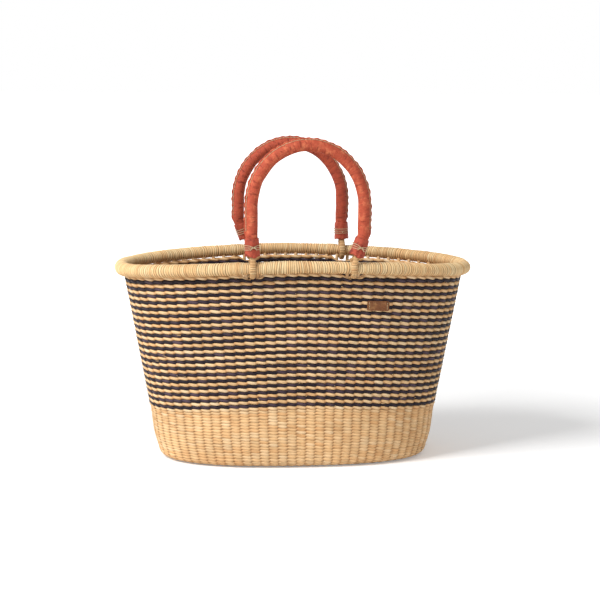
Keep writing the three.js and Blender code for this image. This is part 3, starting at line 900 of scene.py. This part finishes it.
class Handle:
    """Centre line of one handle, over the arch from its left end to its right.

    Its own x runs along the line through its two loops' places on the rim."""

    def __init__(self, form, face):
        sizes = form.sizes
        gaps = np.array(LOOP_GAPS[face]) * (LEFT, RIGHT)
        turns = form.turn_at(gaps if face == FRONT else sizes.stakes / 2 - gaps)
        x = form.on_oval(form.top_half - WALL / 2, turns, form.wall_top)[:, 0]
        across = np.sign(x) * np.abs(x / form.rim_line) ** (PLAN_POWER / 2)
        ends = form.on_oval(form.rim_line, face * np.arccos(across), sizes.rim_height)
        axis = unit(ends[1:] - ends[:1])[0]
        self.origin = ends[0] - axis * (ends[0][0] / axis[0])
        self.turned = Vector((1, 0, 0)).rotation_difference(Vector(axis)).to_matrix()
        self.loops = ends[:, 0] / axis[0]
        self.legs = ARCH_OFFSET + sizes.leg_spacing / 2 * np.array((LEFT, RIGHT))
        self.radius = sizes.handle_diameter / 2
        self.belt = form.roll + LOOP_PLAY + LOOP_THICKNESS / 2
        self.top_turn = (LOOP_THICKNESS + LOOP_SLIT) / 2
        self.tilt = math.asin((self.belt - self.top_turn) / LOOP_HEIGHT)
        self.lean_start = self.belt * math.sin(self.tilt)
        self.leans = (self.legs - self.loops) / (KNEE - self.lean_start)
        spring = HANDLE_RISE[face] - ARCH_RISE
        start = LOOP_HEIGHT + self.top_turn + LOOP_THICKNESS / 2 + 2 * MM
        # Each leg leans up to its knee, then stands upright to the spring of the arch
        steps = 40
        z = np.linspace(start, KNEE, steps)
        above = np.linspace(KNEE, spring, steps + 1)[1:]
        left, right = (
            np.concatenate([
                np.stack([self.lean_x(hand, z), z], 1),
                np.stack([np.full(steps, self.legs[hand]), above], 1),
            ]) for hand in (0, 1)
        )
        angle = np.linspace(math.pi, 0, 241)[1:-1]
        arch_x = ARCH_OFFSET + sizes.leg_spacing / 2 * np.cos(angle)
        arch = np.stack([arch_x, spring + ARCH_RISE * np.sin(angle)], 1)
        line = np.concatenate([left, arch, right[::-1]])
        distance = travelled(line)
        self.length = distance[-1]
        self.knees = distance[steps - 1], distance[-steps]
        self.at = np.linspace(0, self.length, 661)
        line = np.stack([np.interp(self.at, distance, line[:, k]) for k in (0, 1)], 1)
        # The leather and the rope soften each bend
        near = 6
        soft = np.ones(2 * near + 1) / (2 * near + 1)
        for k in (0, 1):
            line[near:-near, k] = np.convolve(line[:, k], soft, "valid")
        self.line = line
        self.along = unit(np.gradient(line, axis=0))

    def lean_x(self, hand, z):
        return self.loops[hand] + self.leans[hand] * np.maximum(z - self.lean_start, 0)

    def place(self, distance, out, back):
        """Points by distance over the arch, offset outwards from it and to the rear."""
        x, z = (np.interp(distance, self.at, self.line[:, k]) for k in (0, 1))
        ax, az = (np.interp(distance, self.at, self.along[:, k]) for k in (0, 1))
        return self.in_place(x - out * az, back, z + out * ax)

    def in_place(self, along, back, up):
        """Points by distance along the hinge, to the rear and up from it."""
        points = np.stack(np.broadcast_arrays(along, back, up), -1)
        return self.origin + points @ np.array(self.turned).T


def handle_ends(form):
    """Each end of each handle: the handle, its name, left or right, 0 or 1, and its side."""
    for where, face in HANDLES:
        handle = Handle(form, face)
        for number, hand in enumerate(("left", "right")):
            yield handle, where, hand, number, face


def sleeve_skin(handle, rng):
    """One strip folded round the rope, its two raised edges gathered by the stitches."""
    at = np.linspace(0, handle.length, 330)
    # The seam rises out of the round sleeve just above each knee
    inwards = np.minimum(at - handle.knees[0], handle.knees[1] - at)
    seam = np.clip((inwards + 3 * MM) / (8 * MM), 0, 1)
    seam = seam * seam * (3 - 2 * seam)
    gather = np.cos(at * (math.pi / STITCH_PITCH))
    jitter = np.interp(at, np.linspace(0, handle.length, 60), rng.uniform(-1, 1, 60))
    tip = handle.radius + seam * (SEAM_HEIGHT + (0.4 * gather + 0.45 * jitter) * MM)
    sway = seam * (0.35 * np.sin(at * (math.pi / STITCH_PITCH / 2)) + 0.25 * jitter) * MM
    wide = 1.35 * MM + 0.2 * MM * gather
    # The seam leaves this angle open to each side of the top, outside and inside
    gap, slit = 0.24, 0.06
    outer = np.linspace(gap, 2 * math.pi - gap, 25)
    inner = np.linspace(slit, 2 * math.pi - slit, 13)[::-1]
    # Not quite round: low waves about the girth, which change along the handle
    knots = rng.uniform(-0.22, 0.22, (40, 5)) * MM
    spread = np.linspace(0, handle.length, 40)
    a, b, c, d = (np.interp(at, spread, knots[:, k])[:, None] for k in range(4))
    size = handle.radius + a * np.cos(outer) + b * np.sin(outer)
    size = size + c * np.cos(2 * outer) + 0.6 * d * np.sin(3 * outer)
    bore = handle.radius - SLEEVE_THICKNESS
    # Half the raised seam, round the outside, the seam's other half, and back inside
    edge = [
        (tip - 0.25 * MM, np.full_like(at, 0.2 * MM)), (tip, 0.2 * MM + wide * 0.35),
        (tip - 0.5 * MM * seam, wide),
        (handle.radius + (tip - handle.radius) * 0.45, wide * 0.95),
    ]
    columns = edge + [
        (size[:, k] * math.cos(angle), size[:, k] * math.sin(angle))
        for k, angle in enumerate(outer)
    ] + [(out, -back) for out, back in edge[::-1]] + [
        (np.full_like(at, bore * math.cos(angle)), np.full_like(at, bore * math.sin(angle)))
        for angle in inner
    ]
    out, back = (np.stack([column[k] for column in columns], 1) for k in (0, 1))
    lift = np.clip((out - handle.radius * 0.9) / (3 * MM), 0, 1)
    back = back + sway[:, None] * lift
    points = handle.place(at[:, None], out, back)
    skin = Skin()
    skin.tube(points, at, 1.7 * MM)
    return skin, at, tip


def thread_run(skin, points, radius, sides=5, tint=0.6):
    """Adds a thin round thread through a short run of points."""
    points = np.asarray(points)
    along = unit(np.gradient(points, axis=0))
    # No thread runs this way, so it always gives a direction across
    side = unit(np.cross(along, [0.31, 0.87, 0.38]))
    other = np.cross(along, side)
    around = circle(sides)[:, None]
    ring = points[:, None] + radius * (
        side[:, None] * np.cos(around) + other[:, None] * np.sin(around)
    )
    skin.tube(ring, travelled(points), 2 * math.pi * radius / sides, tint=tint)


class MakeHandles(bpy.types.Operator):
    """Fold and stitch the leather sleeves over their twisted ropes"""

    bl_idname = "shopper.handles"
    bl_label = "Handles"

    def execute(self, context):
        form = Form(context.scene.shopper_sizes)
        for where, face in HANDLES:
            handle = Handle(form, face)
            skin, at, tip = sleeve_skin(handle, dice("sleeve", face))
            body = f"{where}_handle"
            dress(
                skin.make(f"{where}_goatskin_sleeve"), body, "handle_leather",
                f"{where}_handle_sleeve", finish=f"{where}_dyed_goatskin",
            )
            self.stitches(handle, at, tip, where, body)
            self.rope(handle, where, body)
        return {"FINISHED"}

    def stitches(self, handle, at, tip, where, body):
        """Running stitches through both edges, one to each gather."""
        skin = Skin()
        start, end = handle.knees[0] + 5 * MM, handle.knees[1] - 5 * MM
        for number in range(int((end - start) / STITCH_PITCH)):
            run = start + (number + np.linspace(0.04, 0.96, 6)) * STITCH_PITCH
            arc = np.sin(np.linspace(0, math.pi, 6))
            out = handle.radius - 0.45 * MM + 0.2 * (np.interp(run, at, tip) - handle.radius)
            for side in (-1, 1):
                back = side * (2.45 * MM + 0.35 * MM * arc)
                thread_run(skin, handle.place(run, out, back), STITCH_THREAD)
        dress(skin.make(f"{where}_seam_stitches"), body, "waxed_thread")

    def rope(self, handle, where, body):
        """Three strands of stalks laid up into the rope inside the sleeve."""
        skin = Skin()
        at = np.linspace(0, handle.length, 170)
        around = circle(8)
        for strand in range(3):
            turn = at[:, None] * (2 * math.pi / ROPE_LAY) + strand * 2 * math.pi / 3
            out = STRAND_OUT * np.cos(turn) + STRAND_RADIUS * np.cos(around)
            back = STRAND_OUT * np.sin(turn) + STRAND_RADIUS * np.sin(around)
            skin.tube(handle.place(at[:, None], out, back), at, 1.6 * MM)
        dress(skin.make(f"{where}_twisted_rope"), body, "bundle_straw", f"{where}_handle_rope")


class MakeLoops(bpy.types.Operator):
    """Wind the four loops that hang the handles on the rim"""

    bl_idname = "shopper.loops"
    bl_label = "Loops"

    def execute(self, context):
        form = Form(context.scene.shopper_sizes)
        for handle, where, hand, number, face in handle_ends(form):
            rng = dice("loop", 2 * face + number)
            piece = self.wound(handle, number, rng).make(f"{where}_{hand}_wound_loop")
            dress(piece, f"{where}_handle", "binding_straw", f"{where}_{hand}_loop")
        return {"FINISHED"}

    def wound(self, handle, hand, rng):
        low = np.linspace(handle.tilt, -math.pi - handle.tilt, 80)
        high = np.linspace(math.pi - handle.tilt, handle.tilt, 16)
        around_rim = np.stack([handle.belt * np.cos(low), handle.belt * np.sin(low)], 1)
        around_top = np.stack([
            handle.top_turn * np.cos(high), LOOP_HEIGHT + handle.top_turn * np.sin(high),
        ], 1)
        line = np.concatenate([around_rim, around_top, around_rim[:1]])
        travel = travelled(line)
        turns = round(travel[-1] / WINDING)
        steps = 4
        index = np.arange(turns * steps)
        at = index * (travel[-1] / len(index))
        y, z = (np.interp(at, travel, line[:, k]) for k in (0, 1))
        course = np.stack([y, z], 1)
        ahead = unit(np.roll(course, -2, axis=0) - np.roll(course, 2, axis=0))
        share = (index % steps) / steps
        proud = rng.uniform(-0.12, 0.12, turns)[index // steps] * MM
        ridge = WINDING_RIDGE * (1 - (2 * share - 1) ** 2) + proud
        around = circle(12)
        # Drawn in where it passes under the rim
        drawn_in = 0.75 * MM * np.clip(-z / handle.belt, 0, 1) ** 2
        wide = (LOOP_WIDTH / 2 - WINDING_ROOM[0] + ridge - drawn_in)[:, None] * np.cos(around)
        deep = (LOOP_THICKNESS / 2 - WINDING_ROOM[1] + ridge)[:, None] * np.sin(around)
        x = handle.lean_x(hand, z)[:, None] + wide
        points = handle.in_place(
            x, y[:, None] - deep * ahead[:, 1:], z[:, None] + deep * ahead[:, :1],
        )
        skin = Skin()
        tint = np.clip(rng.normal(0.5, 0.22, turns), 0, 1)[index // steps]
        # Painted shade in the groove between turns, and a little to each side
        pit = np.array([0.95, 0.35, 0.0, 0.35])[index % steps]
        skin.tube(
            points, np.arange(len(index) + 1) * (travel[-1] / len(index)), 1.5 * MM,
            ring=True, wound=True, tint=tint[:, None], pit=pit[:, None],
        )
        return skin


def nothing_selected():
    for thing in bpy.context.selected_objects:
        thing.select_set(False)


def apply_all(piece):
    nothing_selected()
    piece.select_set(True)
    bpy.context.view_layer.objects.active = piece
    for modifier in list(piece.modifiers):
        bpy.ops.object.modifier_apply(modifier=modifier.name)


def settle(piece, matrix):
    """Writes a place into the mesh, so that the object stays at the origin."""
    piece.data.transform(matrix)
    piece.matrix_world = Matrix.Identity(4)


class MakeCuffs(bpy.types.Operator):
    """Draw up a leather cuff over each sleeve end and tie it with thread"""

    bl_idname = "shopper.cuffs"
    bl_label = "Cuffs and ties"

    def execute(self, context):
        form = Form(context.scene.shopper_sizes)
        for handle, where, hand, number, face in handle_ends(form):
            end = Matrix.Translation(handle.origin) @ handle.turned.to_4x4()
            end @= Matrix.Translation((handle.lean_x(number, CUFF_START), 0, CUFF_START))
            end @= Matrix.Rotation(math.atan(handle.leans[number]), 4, "Y")
            rng = dice("cuff", 2 * face + number)
            cuff = self.cuff(f"{where}_{hand}_bound_cuff", handle.radius, rng, face)
            settle(cuff, end)
            dress(cuff, f"{where}_handle", "cuff_leather", f"{where}_{hand}_cuff")
            tie = self.tie(f"{where}_{hand}_thread_tie", handle.radius, rng, face)
            settle(tie, end)
            dress(tie, f"{where}_handle", "waxed_thread", f"{where}_{hand}_tie")
        return {"FINISHED"}

    def cuff(self, name, sleeve, rng, face):
        """A tube of skin, drawn out ring by ring, then folded where it laps over."""
        nothing_selected()
        inner = sleeve + CUFF_ROOM
        bpy.ops.mesh.primitive_circle_add(
            vertices=64, radius=inner + 0.6 * MM, location=(0, 0, 0), fill_type="NOTHING",
        )
        piece = bpy.context.object
        piece.name = piece.data.name = name
        bpy.ops.object.mode_set(mode="EDIT")
        bpy.ops.mesh.select_all(action="SELECT")
        for rise, size in CUFF_RINGS:
            bpy.ops.mesh.extrude_edges_move(TRANSFORM_OT_translate={"value": (0, 0, rise * MM)})
            bpy.ops.transform.resize(value=(size, size, 1))
        bpy.ops.mesh.select_all(action="SELECT")
        bpy.ops.mesh.normals_make_consistent(inside=False)
        bpy.ops.object.mode_set(mode="OBJECT")
        co = np.zeros(len(piece.data.vertices) * 3)
        piece.data.vertices.foreach_get("co", co)
        co = co.reshape(-1, 3)
        angle = np.arctan2(co[:, 1], co[:, 0])
        high = co[:, 2] / CUFF_LENGTH
        front = angle - face * math.pi / 2
        # The edge that laps over, and the fold drawn in beside it
        lap = np.exp(-(wrapped(front + 0.5 - 0.7 * high) / 0.28) ** 2)
        fold = np.exp(-(wrapped(front + 0.05 - 0.7 * high) / 0.13) ** 2) * (high < 0.75)
        swell = 1 + 0.05 * lap - 0.11 * fold
        # Gathered in three kinds of folds, which slant as they rise
        for lobes, size in ((3, 0.018), (5, 0.014), (8, 0.010)):
            slant = 2.2 * high * lobes / 3
            swell = swell + size * np.cos(lobes * angle + rng.uniform(0, 6) + slant)
        # No fold goes into the sleeve
        swell = np.maximum(swell, inner / np.hypot(co[:, 0], co[:, 1]))
        co[:, :2] *= swell[:, None]
        # The lower edge hangs in a point at the front, and both edges are uneven
        point = np.exp(-(wrapped(front - 0.35) / 0.5) ** 2)
        co[:, 2] -= (1 - high) ** 3 * (1.6 * point + 0.5 * np.cos(4 * angle)) * MM
        co[:, 2] += np.maximum(high, 0) ** 3 * 0.7 * np.cos(3 * angle + rng.uniform(0, 6)) * MM
        piece.data.vertices.foreach_set("co", co.ravel())
        thick = piece.modifiers.new("Thick", "SOLIDIFY")
        thick.thickness = CUFF_THICKNESS
        thick.offset = 1.0
        round_off = piece.modifiers.new("Round", "SUBSURF")
        round_off.levels = round_off.render_levels = 1
        apply_all(piece)
        bpy.ops.object.shade_smooth()
        return piece

    def tie(self, name, sleeve, rng, face):
        """Thread taken three times round the cuff, crossed in front and knotted."""
        skin = Skin()
        radius = sleeve + TIE_OUT
        start = face * math.pi / 2 + 0.1
        # Two turns that cross in front, then one level turn, closed by the knot
        turn = np.linspace(-math.pi, 5 * math.pi, 181)
        cross = np.tanh(wrapped(turn) / 0.4)
        lap = np.clip(np.floor((turn + math.pi) / (2 * math.pi)), 0, 2).astype(int)
        rise = 2.7 * MM * cross * np.array([1, -1, 0])[lap]
        lift = 0.3 * MM * np.array([0, 1, 0.5])[lap]
        bulge = 0.2 * MM * np.cos(3 * turn + rng.uniform(0, 6)) + lift
        x = (radius + bulge) * np.cos(turn + start)
        y = (radius + bulge) * np.sin(turn + start)
        thread_run(skin, np.stack([x, y, TIE_HEIGHT + rise], 1), THREAD, 6)
        # The two short ends that hang from the knot
        for out in (-1, 1):
            drift = np.linspace(0, 1, 7)
            angle = start + out * (0.05 + 0.30 * drift)
            far = radius + (0.5 + 1.5 * drift) * MM
            z = TIE_HEIGHT + (1.2 - 4.5 * drift ** 1.5) * MM
            tail = np.stack([far * np.cos(angle), far * np.sin(angle), z], 1)
            thread_run(skin, tail, THREAD)
        return skin.make(name)


class MakeTag(bpy.types.Operator):
    """Cut the small hide tag and stitch it on at both ends"""

    bl_idname = "shopper.tag"
    bl_label = "Tag"

    def execute(self, context):
        form = Form(context.scene.shopper_sizes)
        low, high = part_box("tag")
        centre = (low + high) / 2
        nothing_selected()
        bpy.ops.mesh.primitive_cube_add(size=1, location=(0, 0, 0), scale=TAG_SIZE)
        piece = bpy.context.object
        piece.name = piece.data.name = "hide_tag"
        bpy.ops.object.transform_apply(location=False, rotation=False, scale=True)
        # Round the four upright edges, then press a line in all round the face
        upright = [
            len({round(piece.data.vertices[v].co.z, 5) for v in edge.vertices}) > 1
            for edge in piece.data.edges
        ]
        self.pick("EDGE", piece.data.edges, upright)
        bpy.ops.mesh.bevel(offset=TAG_CORNER, segments=4, affect="EDGES")
        bpy.ops.object.mode_set(mode="OBJECT")
        self.pick(
            "FACE", piece.data.polygons, [face.normal.z > 0.9 for face in piece.data.polygons],
        )
        bpy.ops.mesh.inset(thickness=0.6 * MM, depth=0.0)
        bpy.ops.mesh.inset(thickness=0.3 * MM, depth=-0.12 * MM)
        bpy.ops.object.mode_set(mode="OBJECT")
        edge = piece.modifiers.new("Edge", "BEVEL")
        edge.width = 0.12 * MM
        edge.segments = 2
        edge.limit_method = "ANGLE"
        apply_all(piece)
        bpy.ops.object.shade_smooth_by_angle(angle=math.radians(35))
        across, up, outward = self.lie(form, centre)
        turn = Matrix((across, up, outward)).transposed().to_4x4()
        # The round wall stands a little further out here than its flat-sided solid
        matrix = Matrix.Translation(centre + TAG_PROUD * outward) @ turn
        settle(piece, matrix)
        dress(piece, "basket", "tag_leather", "tag")
        skin = Skin()
        for side in (-1, 1):
            for step in (-3.4, -1.1, 1.2, 3.5):
                run = np.linspace(-1, 1, 7)
                x = side * TAG_STITCHES + 0.25 * MM * run
                y = (step + 0.75 * run) * MM
                z = 0.62 * MM + 0.28 * MM * np.cos(run * math.pi / 2)
                thread_run(skin, np.stack([x, y, z], 1), TAG_THREAD)
        stitches = skin.make("tag_stitches")
        settle(stitches, matrix)
        dress(stitches, "basket", "waxed_thread")
        return {"FINISHED"}

    def pick(self, kind, parts, chosen):
        """Selects the chosen edges or faces only, and goes into edit mode."""
        bpy.ops.object.mode_set(mode="EDIT")
        bpy.ops.mesh.select_mode(type=kind)
        bpy.ops.mesh.select_all(action="DESELECT")
        bpy.ops.object.mode_set(mode="OBJECT")
        parts.foreach_set("select", chosen)
        bpy.ops.object.mode_set(mode="EDIT")

    def lie(self, form, centre):
        """Directions across, up and out of the wall where the tag lies on it."""
        stakes = np.linspace(0, form.sizes.stakes / 4, 400)
        z = centre.z + 5 * MM
        front = form.on_wall(form.path_to(z), WALL / 2, stakes)
        near = int(np.argmin(np.abs(front[:, 0] - centre.x)))
        across = Vector(front[near + 3] - front[near - 3]).normalized()
        above = form.on_wall(form.path_to(z + 8 * MM), WALL / 2, stakes)[near]
        outward = across.cross(Vector(above - front[near])).normalized()
        return across, outward.cross(across), outward


class MakeStrayEnds(bpy.types.Operator):
    """Leave the short straw ends that stick out where one straw followed another"""

    bl_idname = "shopper.stray_ends"
    bl_label = "Stray ends"

    def execute(self, context):
        form = Form(context.scene.shopper_sizes)
        rng = dice("stray")
        skin = Skin()
        top = form.dark_height(0)
        for number in range(STRAY_ENDS):
            z = rng.uniform(0.0, 1.0) * (top - form.band) + form.band
            if number % STRAY_ON_PLAIN == 0:
                z = rng.uniform(14 * MM, form.band)
            stake = rng.integers(form.sizes.stakes) + 0.5 + rng.uniform(-0.12, 0.12)
            reach = rng.uniform(2.2, 4.5) * MM
            tip = rng.uniform(-0.28, 0.28)
            share = np.linspace(0, 1, 5)
            out = 0.8 * MM + (reach - 0.5 * MM) * share ** 0.8
            path = form.path_to(z) + rng.uniform(-1.6, 1.6) * MM * share
            points = form.on_wall(path, out, stake + tip * share)
            thin = (0.42 * MM * (1 - 0.55 * share))[:, None, None]
            around = circle(5)
            ring = np.stack([np.cos(around), 0.4 * np.cos(around), np.sin(around)], 1)
            skin.tube(
                points[:, None] + thin * ring, share * reach, 0.5 * MM,
                tint=rng.uniform(0.5, 1.0),
            )
        dress(skin.make("stray_straw_ends"), "basket", "natural_straw")
        return {"FINISHED"}


class MakeStage(bpy.types.Operator):
    """Set the pale floor, the soft light and the camera of the photograph"""

    bl_idname = "shopper.stage"
    bl_label = "Stage"

    def execute(self, context):
        scene = context.scene
        nothing_selected()
        bpy.ops.mesh.primitive_plane_add(size=40, location=(0, 0, 0))
        floor = context.object
        floor.name = "floor"
        tree = new_tree("pale_paper_floor")
        paper = add(tree, "ShaderNodeBsdfDiffuse", {"Color": linear("#f4f4f4")})
        # The photograph overexposes the paper away from the basket, so only the shadow shows
        place = add(tree, "ShaderNodeTexCoord")
        far = add(tree, "ShaderNodeVectorMath", {0: place.outputs["Object"]}, operation="LENGTH")
        paling = add(tree, "ShaderNodeMapRange", {
            "Value": far.outputs["Value"], "From Min": 0.5, "From Max": 1.25,
            "To Min": 0.22, "To Max": 1.0,
        }, interpolation_type="SMOOTHSTEP")
        lift = add(tree, "ShaderNodeMath", {
            0: self.seen(tree), 1: paling.outputs[0],
        }, operation="MULTIPLY")
        glow = add(tree, "ShaderNodeEmission", {"Strength": lift.outputs[0]})
        both = add(tree, "ShaderNodeAddShader", {
            0: paper.outputs["BSDF"], 1: glow.outputs["Emission"],
        })
        add(tree, "ShaderNodeOutputMaterial", {"Surface": both.outputs["Shader"]})
        floor.data.materials.append(bpy.data.materials["pale_paper_floor"])

        world = bpy.data.worlds.new("soft_room")
        world.use_nodes = True
        world.node_tree.nodes.clear()
        tree = world.node_tree
        level = add(tree, "ShaderNodeMapRange", {
            "Value": self.seen(tree), "To Min": 0.5, "To Max": 1.0,
        })
        sky = add(tree, "ShaderNodeBackground", {
            "Strength": level.outputs[0], "Color": grey(1.0),
        })
        add(tree, "ShaderNodeOutputWorld", {"Surface": sky.outputs["Background"]})
        scene.world = world

        for name, (place, target, size, power) in LAMPS.items():
            light = bpy.data.lights.new(name, "AREA")
            light.size = size
            light.energy = power
            holder = bpy.data.objects.new(name, light)
            scene.collection.objects.link(holder)
            holder.location = place
            aim = Vector(target) - Vector(place)
            holder.rotation_euler = aim.to_track_quat("-Z", "Y").to_euler()

        eye = bpy.data.objects.new("eye", bpy.data.cameras.new("eye"))
        scene.collection.objects.link(eye)
        eye.data.sensor_width = 36
        eye.data.lens = EYE_LENS
        eye.data.clip_start, eye.data.clip_end = 0.05, 100
        turn = math.radians(EYE_TURN)
        eye.location = (EYE_AWAY * math.sin(turn), -EYE_AWAY * math.cos(turn), EYE_HEIGHT)
        aim = Euler((math.radians(90 - EYE_DOWN), 0, turn + math.radians(EYE_AIM))).to_matrix()
        roll = Matrix.Rotation(math.radians(EYE_ROLL), 3, "Z")
        eye.rotation_euler = (aim @ roll).to_euler()
        scene.camera = eye
        scene.view_settings.view_transform = "Standard"
        return {"FINISHED"}

    def seen(self, tree):
        """1 for what the camera sees, also in gloss and through glass, 0 for light on things."""
        rays = add(tree, "ShaderNodeLightPath")
        direct = add(tree, "ShaderNodeMath", {
            0: rays.outputs["Is Camera Ray"], 1: rays.outputs["Is Glossy Ray"],
        }, operation="MAXIMUM")
        return add(tree, "ShaderNodeMath", {
            0: direct.outputs[0], 1: rays.outputs["Is Transmission Ray"],
        }, operation="MAXIMUM").outputs[0]


OPERATORS = (
    MakeFinishes, MakeStage, MakeStakes, MakeStripedBand, MakePlainBand, MakeMat, MakeRim,
    MakeHandles, MakeLoops, MakeCuffs, MakeTag, MakeStrayEnds,
)


class ShopperPanel(bpy.types.Panel):
    """Sizes, colours and pieces of the straw shopper"""

    bl_idname = "VIEW3D_PT_straw_shopper"
    bl_label = "Straw Shopper"
    bl_space_type = "VIEW_3D"
    bl_region_type = "UI"
    bl_category = "Straw Shopper"

    def draw(self, context):
        layout = self.layout
        for group in (context.scene.shopper_sizes, context.scene.shopper_colours):
            box = layout.box()
            for key in group.__annotations__:
                box.prop(group, key)
        for operator in OPERATORS:
            layout.operator(operator.bl_idname)


CLASSES = (ShopperSizes, ShopperColours) + OPERATORS + (ShopperPanel,)


def register():
    for cls in CLASSES:
        bpy.utils.register_class(cls)
    bpy.types.Scene.shopper_sizes = PointerProperty(type=ShopperSizes)
    bpy.types.Scene.shopper_colours = PointerProperty(type=ShopperColours)


def unregister():
    del bpy.types.Scene.shopper_colours
    del bpy.types.Scene.shopper_sizes
    for cls in reversed(CLASSES):
        bpy.utils.unregister_class(cls)


def main():
    register()
    for operator in OPERATORS:
        family, name = operator.bl_idname.split(".")
        getattr(getattr(bpy.ops, family), name)()
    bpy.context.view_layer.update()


if __name__ == "__main__":
    main()
